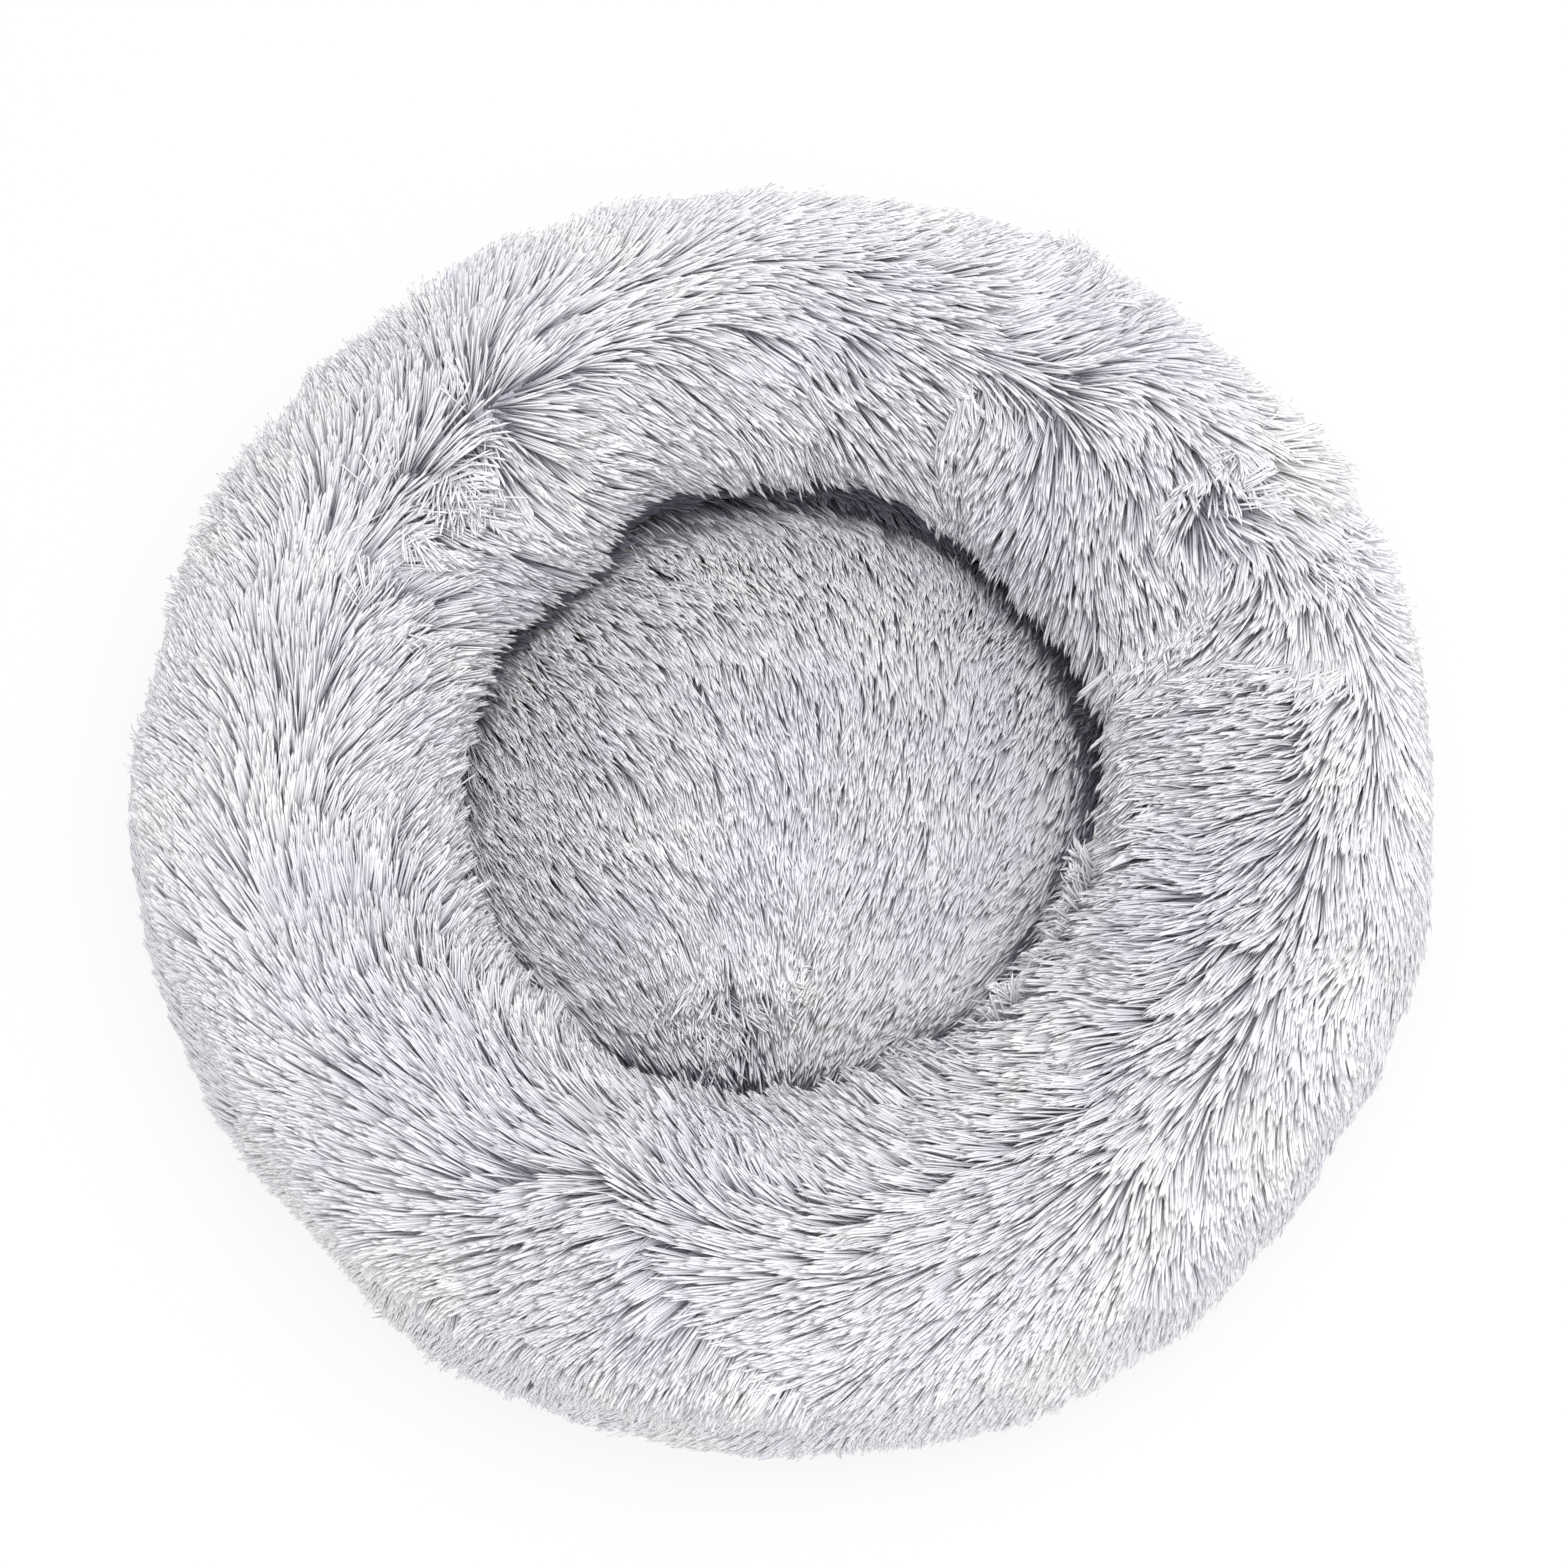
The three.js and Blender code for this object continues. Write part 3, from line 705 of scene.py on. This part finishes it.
UPRIGHT = np.array([[0, 0, 1.0]])
SPREAD_SHARE = 0.55
SPREAD_CROSSING = 0.5
SPREAD_SIZE = 14 * MM
SPREAD_RISE = 0.4
RUFFLED_TURN = 0.9
RUFFLED_SIZE = 18 * MM
RUFFLED_RISE = 0.5
COARSER = 1.8  # in the middle of such a place the tufts are coarser by this share
COARSE_REACH = 1.6


def field(values, stations):
    """For each value the number of the station before it, and how far it lies over to the next one."""
    place = np.interp(values, stations, np.arange(len(stations)))
    before = np.minimum(place.astype(int), len(stations) - 2)
    return before, smooth_step(*FIELD_EDGE, place - before)


def rim_lay(places, normals, rise, rng):
    """The way that each lock lies, how steeply it rises, and how coarse the tufts are there."""
    coarse = np.ones(len(places))
    bearing = np.arctan2(places[:, 1], places[:, 0])
    radius = radius_of(places)
    table = np.array(BRUSHED + ((360, *BRUSHED[0][1:]),), float)
    row, down = field(np.degrees(bearing) % 360, table[:, 0])
    column, out = field(radius, BRUSHED_RADII)
    turns = table[:, 1:]
    turn = (turns[row, column] * (1 - down) + turns[row + 1, column] * down) * (1 - out)
    turn += (turns[row, column + 1] * (1 - down) + turns[row + 1, column + 1] * down) * out
    heading = bearing - math.pi / 2 + np.radians(turn)
    lay = np.stack([np.cos(heading), np.sin(heading), np.zeros(len(places))], axis=1)
    outward = np.stack([np.cos(bearing), np.sin(bearing), np.zeros(len(places))], axis=1)
    slope = np.sum(normals * outward, axis=1)
    lay[:, 2] -= FALL_SHARE * slope**2
    inward = smooth_step(*LIP_INWARD, radius) * (0.5 + 0.5 * np.cos(bearing - LIP_INWARD_BEARING))
    lay -= (lay + outward) * inward[:, None]
    for x, y, reach in WHORLS + RUFFLES:
        off = places[:, :2] - np.array((x, y))
        coarse += COARSER * np.exp(-np.sum(off**2, axis=1) / (COARSE_REACH * reach) ** 2)
    for x, y, reach in WHORLS:
        lay, rise = spread(lay, rise, places, (x, y), reach, rng)
    for x, y, reach in RUFFLES:
        lay, rise = ruffled(lay, rise, places, (x, y), reach, rng)
    patch = nearest(places, places[rng.choice(len(places), PATCH_COUNT, replace=False)])
    turn = PATCH_TURN * rng.normal(size=PATCH_COUNT)[patch] + WANDER_TURN * waves(places, WANDER_SIZE, rng)
    return turned(flat_to(lay, normals), normals, turn), rise, coarse


class DONUT_OT_rim_pile(bpy.types.Operator):
    """The long pile of the rim, in sectors"""

    bl_idname = "donut.rim_pile"
    bl_label = "Rim pile"

    def execute(self, context):
        pile = settings("pile")
        rng = np.random.default_rng(SEED)

        def wanted(centres, normals):
            hidden = (centres[:, 2] < SEAM_HEIGHT + PILE_MARGIN) & (radius_of(centres) < BASE_RADIUS)
            return ~hidden

        skin = bpy.data.objects["rim_plush"].data
        places, normals = scatter(skin, pile.rim_locks, wanted, rng)
        radius = radius_of(places)
        below = smooth_step(*EDGE_HEIGHTS, places[:, 2]) * (radius > PANEL_RADIUS)
        edge = np.maximum(smooth_step(*EDGE_RADII, radius), below)
        # Painted light: towards the outer edge, and low on the outer side, the rim's pile takes its pale tip
        # colour all along, less so at the left.
        pale = np.maximum(smooth_step(*PALE_RADII, radius), below)
        bearing = np.arctan2(places[:, 1], places[:, 0])
        # Painted shade: under the lip the rim's pile takes its dark foot colour, with a ragged edge.
        height = places[:, 2] + SHADOW_EDGE_RAGGED * rng.normal(size=len(places))
        painted_shading = smooth_step(*LIP_SHADOW_HEIGHTS, height) * (radius < PANEL_RADIUS)
        painted_shading -= pale * (1 - LEFT_LESS_LIGHT * np.maximum(0, -np.cos(bearing)))
        lip = smooth_step(*LIP_RADII, radius)
        over = 0.5 + 0.5 * np.cos(bearing - LIP_INWARD_BEARING)
        close = lip * (1 - over)
        rise = pile.rise * (1 + RIM_RISE_UNEVEN * waves(places, RIM_RISE_SIZE, rng))
        rise *= (1 - EDGE_FLATTER * edge) * (1 - LIP_FLATTER * close)
        lay, rise, coarse = rim_lay(places, normals, rise, rng)
        gather = pile.gather * (1 + PALE_LOOSER * np.minimum(painted_shading, 0))
        length = pile.lock_length * (1 + RIM_LENGTH_UNEVEN * waves(places, RIM_LENGTH_SIZE, rng))
        length *= (1 - EDGE_SHORTER * edge) * (1 + LIP_LONGER * lip)
        width = pile.lock_width * rng.uniform(*WIDTH_SHARES, len(places))
        droop = PILE_DROOP + LIP_DROOP * close
        sectors = math.ceil(len(places) / LOCKS_PER_PIECE) + 1
        order = np.argsort(bearing)
        look = pile_material()
        for number, members in enumerate(np.array_split(order, sectors)):
            obj = grow_pile(
                f"rim_pile_{number + 1:02d}", places[members], normals[members], lay[members],
                length[members], rise[members], width[members], droop[members], painted_shading[members],
                gather[members], coarse[members], *RIM_TUFTS, rng,
            )
            add_piece(obj, "bed", look)
        return {"FINISHED"}


RIM_TUFTS = (4, 0.65)  # locks in a tuft, and how far they stay one behind the other
PILE_MARGIN = 2 * MM
WIDTH_SHARES = (0.7, 1.2)
RIM_RISE_UNEVEN = 0.1  # the pile rises more and less in swells of this size
RIM_RISE_SIZE = 45 * MM
RIM_LENGTH_UNEVEN = 0.08
RIM_LENGTH_SIZE = 60 * MM
LIP_SHADOW_HEIGHTS = (90 * MM, 84 * MM)  # under the lip the rim's pile is painted in shade with its dark foot colour, from the first of these heights down to the second
SHADOW_EDGE_RAGGED = 2.5 * MM
EDGE_RADII = (195 * MM, 246 * MM)  # past these radii the rim's pile is shorter and flatter
EDGE_HEIGHTS = (95 * MM, 65 * MM)  # and below these heights
PALE_RADII = (184 * MM, 222 * MM)  # past these radii, and below the edge's heights, the rim's pile is painted paler: painted light
EDGE_FLATTER = 0.6
EDGE_SHORTER = 0.2
PALE_LOOSER = 0.5  # where the pile is painted paler, as painted light, the tufts gather less
LEFT_LESS_LIGHT = 0.45  # at the left the edge's painted light is weaker by this share
LIP_RADII = (142 * MM, 122 * MM)  # towards the lip the rim's pile lies flatter and hangs over
LIP_FLATTER = 0.3
LIP_LONGER = 0.15
LIP_DROOP = 0.4
LIP_INWARD = (138 * MM, 124 * MM)  # between these radii the pile turns over the lip, most at this bearing
LIP_INWARD_BEARING = math.radians(-40)
# The sleeping panel's pile lies to the front, and draws in to a place at its front edge, where a tuft stands.
MEETING_PLACE = (-15 * MM, -100 * MM)
MEETING_DRIFT = 38 * MM
MEETING_REACH = 120 * MM
TUFT_PLACE = (-22 * MM, -70 * MM)
TUFT_REACH = 17 * MM
PANEL_PATCH_COUNT = 24
PANEL_PATCH_TURN = 0.06
PANEL_WANDER_TURN = 0.08
PANEL_WANDER_SIZE = 60 * MM
PANEL_SHADOW_CENTRE = (-8 * MM, 4 * MM)  # about this place the pile is painted in shade with its dark foot colour where its tips reach past these radii, in the crevice under the lip
PANEL_SHADOW_RADII = (108 * MM, 111 * MM)
PANEL_SHADED = (90 * MM, 108 * MM)  # between these radii more of the pile lies in shade
PANEL_SHADED_SHARE = 0.06
PANEL_SHADE = 0.7
PANEL_TUFTS = (3, 0.85)
PANEL_LOOSER = 0.72
PANEL_FINER = 0.98
PANEL_RISE = 0.76
PANEL_EDGE = (106 * MM, 124 * MM)  # between these radii the panel's pile begins to stand
PANEL_EDGE_RISE = 0.35
PANEL_EDGE_LONGER = 0.3
PANEL_UNEVEN = 0.06
PANEL_RISE_SIZE = 40 * MM
PANEL_LENGTH_SIZE = 50 * MM
PANEL_MARGIN = 4 * MM
PANEL_FACING = 0.3
PANEL_FOOT = 22 * MM


def panel_lay(places, normals, rise, rng):
    back = (places[:, 1] - MEETING_PLACE[1]) / PANEL_RADIUS
    aside = places[:, 0] - MEETING_PLACE[0] - MEETING_DRIFT * back
    draw = -aside / (MEETING_REACH * np.clip(0.3 + back, 0.3, 1))
    lay = unit(np.stack([draw, np.full(len(places), -1.0), np.zeros(len(places))], axis=1))
    lay, rise = ruffled(lay, rise, places, TUFT_PLACE, TUFT_REACH, rng)
    patch = nearest(places, places[rng.choice(len(places), PANEL_PATCH_COUNT, replace=False)])
    turn = PANEL_PATCH_TURN * rng.normal(size=PANEL_PATCH_COUNT)[patch]
    turn += PANEL_WANDER_TURN * waves(places, PANEL_WANDER_SIZE, rng)
    return turned(flat_to(lay, normals), normals, turn), rise


class DONUT_OT_sleeping_pile(bpy.types.Operator):
    """The long pile of the sleeping panel, in two halves"""

    bl_idname = "donut.sleeping_pile"
    bl_label = "Sleeping panel's pile"

    def execute(self, context):
        pile = settings("pile")
        rng = np.random.default_rng(SEED + 1)

        def wanted(centres, normals):
            inside = radius_of(centres) < PANEL_RADIUS - PANEL_MARGIN
            return (normals[:, 2] > PANEL_FACING) & inside & (centres[:, 2] > PANEL_FOOT)

        skin = bpy.data.objects["sleeping_plush"].data
        places, normals = scatter(skin, pile.panel_locks, wanted, rng)
        radius = radius_of(places)
        edge = smooth_step(*PANEL_EDGE, radius)
        rise = pile.rise * (PANEL_RISE + PANEL_UNEVEN * waves(places, PANEL_RISE_SIZE, rng))
        rise *= 1 + PANEL_EDGE_RISE * edge
        lay, rise = panel_lay(places, normals, rise, rng)
        length = pile.lock_length * (1 + PANEL_UNEVEN * waves(places, PANEL_LENGTH_SIZE, rng))
        length *= 1 + PANEL_EDGE_LONGER * edge
        width = pile.lock_width * PANEL_FINER * rng.uniform(*WIDTH_SHARES, len(places))
        # Painted shade: where a lock's tip reaches the crevice under the lip it takes the dark foot colour,
        # and towards the edge a share of locks at random is painted darker too.
        aside = (places + lay * length[:, None])[:, :2] - np.array(PANEL_SHADOW_CENTRE)
        reach = np.linalg.norm(aside, axis=1) + SHADOW_EDGE_RAGGED * rng.normal(size=len(places))
        painted_shading = smooth_step(*PANEL_SHADOW_RADII, reach)
        shaded = smooth_step(*PANEL_SHADED, radius) * PANEL_SHADED_SHARE
        painted_shading = np.maximum(painted_shading, PANEL_SHADE * (rng.random(len(places)) < shaded))
        gather = np.full(len(places), pile.gather * PANEL_LOOSER)
        coarse = np.ones(len(places))
        look = pile_material()
        for side, members in (
            ("left", np.nonzero(places[:, 0] < 0)[0]),
            ("right", np.nonzero(places[:, 0] >= 0)[0]),
        ):
            obj = grow_pile(
                f"sleeping_pile_{side}", places[members], normals[members], lay[members],
                length[members], rise[members], width[members], PILE_DROOP, painted_shading[members],
                gather[members], coarse[members], *PANEL_TUFTS, rng,
            )
            add_piece(obj, "bed", look)
        return {"FINISHED"}


def woven_material(name, colour, pitch, roughness):
    """A plain weave on Object coordinates, with the threads standing out."""
    made, nodes, links = material(name)
    shader = nodes["Principled BSDF"]
    shader.inputs["Roughness"].default_value = roughness
    shader.inputs["Specular IOR Level"].default_value = 0.3
    where = nodes.new("ShaderNodeTexCoord").outputs["Object"]
    heights = []
    for direction in ("X", "Y"):
        threads = node(
            nodes, "ShaderNodeTexWave", wave_type="BANDS", bands_direction=direction, wave_profile="SIN",
            in_Scale=WAVE_SCALE / pitch, in_Distortion=0.4,
        )
        links.new(where, threads.inputs["Vector"])
        heights.append(threads.outputs["Fac"])
    weave = node(nodes, "ShaderNodeMath", operation="MAXIMUM")
    links.new(heights[0], weave.inputs[0])
    links.new(heights[1], weave.inputs[1])
    shade = ramp(nodes, [(0.3, rgba(colour, 0.75)), (1.0, rgba(colour, 1.12))])
    links.new(weave.outputs[0], shade.inputs[0])
    _, wear = noise(nodes, links, where, WEAR_SCALE, 4.0, [(0.35, rgba([0.9] * 3)), (0.65, rgba([1.04] * 3))])
    whole = multiplied(nodes, links, shade.outputs[0], wear)
    links.new(whole.outputs[2], shader.inputs["Base Color"])
    bumped(nodes, links, weave.outputs[0], 0.5, THREAD_HEIGHT)
    return made


def moulded_material(name, colour, roughness, metallic):
    """Moulded or cast and lightly worn: a fine grain in colour and roughness."""
    made, nodes, links = material(name)
    shader = nodes["Principled BSDF"]
    shader.inputs["Metallic"].default_value = metallic
    where = nodes.new("ShaderNodeTexCoord").outputs["Object"]
    stops = [(0.3, rgba(colour, 0.88)), (0.7, rgba(colour, 1.06))]
    grain, shade = noise(nodes, links, where, GRAIN_SCALE, 3.0, stops)
    links.new(shade, shader.inputs["Base Color"])
    gloss = ramp(nodes, [(0.3, rgba([roughness * 0.8] * 3)), (0.7, rgba([roughness * 1.25] * 3))])
    links.new(grain, gloss.inputs[0])
    links.new(gloss.outputs[0], shader.inputs["Roughness"])
    return made


WAVE_SCALE = 0.314  # the scale at which a band texture repeats once in a unit
WEAR_SCALE = 25.0
THREAD_HEIGHT = 0.2 * MM
GRAIN_SCALE = 1200.0
OXFORD_PITCH = 0.55 * MM
TAPE_PITCH = 0.4 * MM
SEWING_PITCH = 0.3 * MM


def paint(names, look):
    for name in names:
        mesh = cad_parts[name].data
        mesh.materials.clear()
        mesh.materials.append(look)


class DONUT_OT_underside(bpy.types.Operator):
    """The coated base, the zip's tapes and the stitches"""

    bl_idname = "donut.underside"
    bl_label = "Underside"

    def execute(self, context):
        colours = settings("underside")
        paint(["base_panel"], woven_material("oxford_base", colours.oxford, OXFORD_PITCH, 0.6))
        tape = woven_material("zip_tape", colours.webbing, TAPE_PITCH, 0.8)
        paint(["zip_tape_back", "zip_tape_front"], tape)
        paint(["zip_stitching"], woven_material("sewing_thread", colours.webbing, SEWING_PITCH, 0.7))
        return {"FINISHED"}


class DONUT_OT_zip(bpy.types.Operator):
    """The zip's teeth, stops, slider and pull"""

    bl_idname = "donut.zip"
    bl_label = "Zip"

    def execute(self, context):
        colours = settings("underside")
        paint(["zip_teeth_back", "zip_teeth_front"], moulded_material("zip_teeth", colours.teeth, 0.4, 0))
        nickel = moulded_material("zip_nickel", colours.metal, 0.28, 1)
        stops = ["zip_top_stop_back", "zip_top_stop_front", "zip_bottom_stop"]
        paint([*stops, "zip_slider", "zip_pull"], nickel)
        return {"FINISHED"}


class DONUT_OT_stage(bpy.types.Operator):
    """The floor, the light and the camera"""

    bl_idname = "donut.stage"
    bl_label = "Stage"

    def execute(self, context):
        look = settings("stage")
        self.floor(look)
        self.light(look)
        self.camera(look)
        context.scene.view_settings.view_transform = "Standard"
        return {"FINISHED"}

    def floor(self, look):
        mesh = bpy.data.meshes.new("floor")
        work = bmesh.new()
        bmesh.ops.create_grid(work, x_segments=1, y_segments=1, size=FLOOR_HALF)
        work.to_mesh(mesh)
        work.free()
        made, nodes, links = material("floor")
        shader = nodes["Principled BSDF"]
        shader.inputs["Base Color"].default_value = rgba(look.floor)
        shader.inputs["Roughness"].default_value = 0.9
        shader.inputs["Specular IOR Level"].default_value = 0
        glow = node(nodes, "ShaderNodeEmission", in_Color=rgba([BACKDROP] * 3), in_Strength=1.0)
        rays = nodes.new("ShaderNodeLightPath")
        seen = node(nodes, "ShaderNodeMath", operation="MAXIMUM")
        links.new(rays.outputs["Is Camera Ray"], seen.inputs[0])
        links.new(rays.outputs["Is Glossy Ray"], seen.inputs[1])
        share = node(nodes, "ShaderNodeMapRange", in_To_Min=BACKDROP_LIT, in_To_Max=BACKDROP_SEEN)
        either = node(nodes, "ShaderNodeMath", operation="MAXIMUM")
        links.new(seen.outputs[0], either.inputs[0])
        links.new(rays.outputs["Is Transmission Ray"], either.inputs[1])
        links.new(either.outputs[0], share.inputs[0])
        mixed = nodes.new("ShaderNodeMixShader")
        links.new(share.outputs[0], mixed.inputs[0])
        links.new(shader.outputs[0], mixed.inputs[1])
        links.new(glow.outputs[0], mixed.inputs[2])
        below = nodes.new("ShaderNodeNewGeometry")
        clear = nodes.new("ShaderNodeBsdfTransparent")
        shown = nodes.new("ShaderNodeMixShader")
        links.new(below.outputs["Backfacing"], shown.inputs[0])
        links.new(mixed.outputs[0], shown.inputs[1])
        links.new(clear.outputs[0], shown.inputs[2])
        links.new(shown.outputs[0], nodes["Material Output"].inputs["Surface"])
        floor = new_object("floor", mesh)
        mesh.materials.append(made)

    def light(self, look):
        world = bpy.data.worlds.new("studio")
        world.use_nodes = True
        nodes, links = world.node_tree.nodes, world.node_tree.links
        where = nodes.new("ShaderNodeTexCoord")
        parts = nodes.new("ShaderNodeSeparateXYZ")
        links.new(where.outputs["Normal"], parts.inputs[0])
        height = ramp(nodes, [(0.0, rgba([look.sky * look.horizon] * 3)), (0.7, rgba([look.sky] * 3))])
        above = node(nodes, "ShaderNodeMath", operation="ABSOLUTE")
        links.new(parts.outputs["Z"], above.inputs[0])
        links.new(above.outputs[0], height.inputs[0])
        links.new(height.outputs[0], nodes["Background"].inputs["Color"])
        bpy.context.scene.world = world
        lamp = bpy.data.lights.new("key", "AREA")
        lamp.energy = look.key
        lamp.size = KEY_SIZE
        key = bpy.data.objects.new("key", lamp)
        bpy.context.scene.collection.objects.link(key)
        key.location = KEY_PLACE
        key.rotation_mode = "QUATERNION"
        key.rotation_quaternion = (Vector(KEY_AIM) - key.location).to_track_quat("-Z", "Y")

    def camera(self, look):
        data = bpy.data.cameras.new("camera")
        camera = bpy.data.objects.new("camera", data)
        bpy.context.scene.collection.objects.link(camera)
        aim = Vector((0, CAMERA_AIM[0], CAMERA_AIM[1]))
        back = Vector((0, -math.cos(look.elevation), math.sin(look.elevation)))
        camera.location = aim + back * look.distance
        camera.rotation_mode = "QUATERNION"
        camera.rotation_quaternion = (-back).to_track_quat("-Z", "Y")
        data.sensor_width = SENSOR_WIDTH
        data.lens = SENSOR_WIDTH * look.distance / look.view_width
        data.clip_start, data.clip_end = CLIP
        bpy.context.scene.camera = camera


CAMERA_AIM = (7 * MM, 70 * MM)  # Y and Z of the point at the middle of the view
SENSOR_WIDTH = 36  # in millimetres, as the lens is
CLIP = (10 * MM, 20)
KEY_PLACE = (0.2, -0.12, 1.8)
KEY_AIM = (0, 0, 50 * MM)
KEY_SIZE = 1.2
FLOOR_HALF = 6
BACKDROP = 0.982
BACKDROP_LIT = 0.4  # how much of the backdrop's own white the lit bed meets, and how much the camera does
BACKDROP_SEEN = 0.85


class DONUT_PT_bed(bpy.types.Panel):
    """The donut bed's pieces and sizes"""

    bl_idname = "DONUT_PT_bed"
    bl_label = "Donut bed"
    bl_space_type = "VIEW_3D"
    bl_region_type = "UI"
    bl_category = "Donut bed"

    def draw(self, context):
        for group in GROUPS:
            box = self.layout.box()
            box.label(text=group.__doc__)
            values = settings(GROUPS[group])
            for name in group.__annotations__:
                box.prop(values, name)
        for operator in OPERATORS:
            self.layout.operator(operator.bl_idname)


GROUPS = {PileSizes: "pile", PileColours: "colours", UndersideColours: "underside", StageLook: "stage"}
OPERATORS = (
    DONUT_OT_rim_cushion,
    DONUT_OT_sleeping_cushion,
    DONUT_OT_rim_pile,
    DONUT_OT_sleeping_pile,
    DONUT_OT_underside,
    DONUT_OT_zip,
    DONUT_OT_stage,
)


def register():
    for group, name in GROUPS.items():
        bpy.utils.register_class(group)
        setattr(bpy.types.Scene, "donut_bed_" + name, PointerProperty(type=group))
    for operator in OPERATORS:
        bpy.utils.register_class(operator)
    bpy.utils.register_class(DONUT_PT_bed)


def unregister():
    bpy.utils.unregister_class(DONUT_PT_bed)
    for operator in reversed(OPERATORS):
        bpy.utils.unregister_class(operator)
    for group, name in reversed(GROUPS.items()):
        delattr(bpy.types.Scene, "donut_bed_" + name)
        bpy.utils.unregister_class(group)


def main():
    register()
    for operator in OPERATORS:
        family, name = operator.bl_idname.split(".")
        getattr(getattr(bpy.ops, family), name)()


if __name__ == "__main__":
    main()
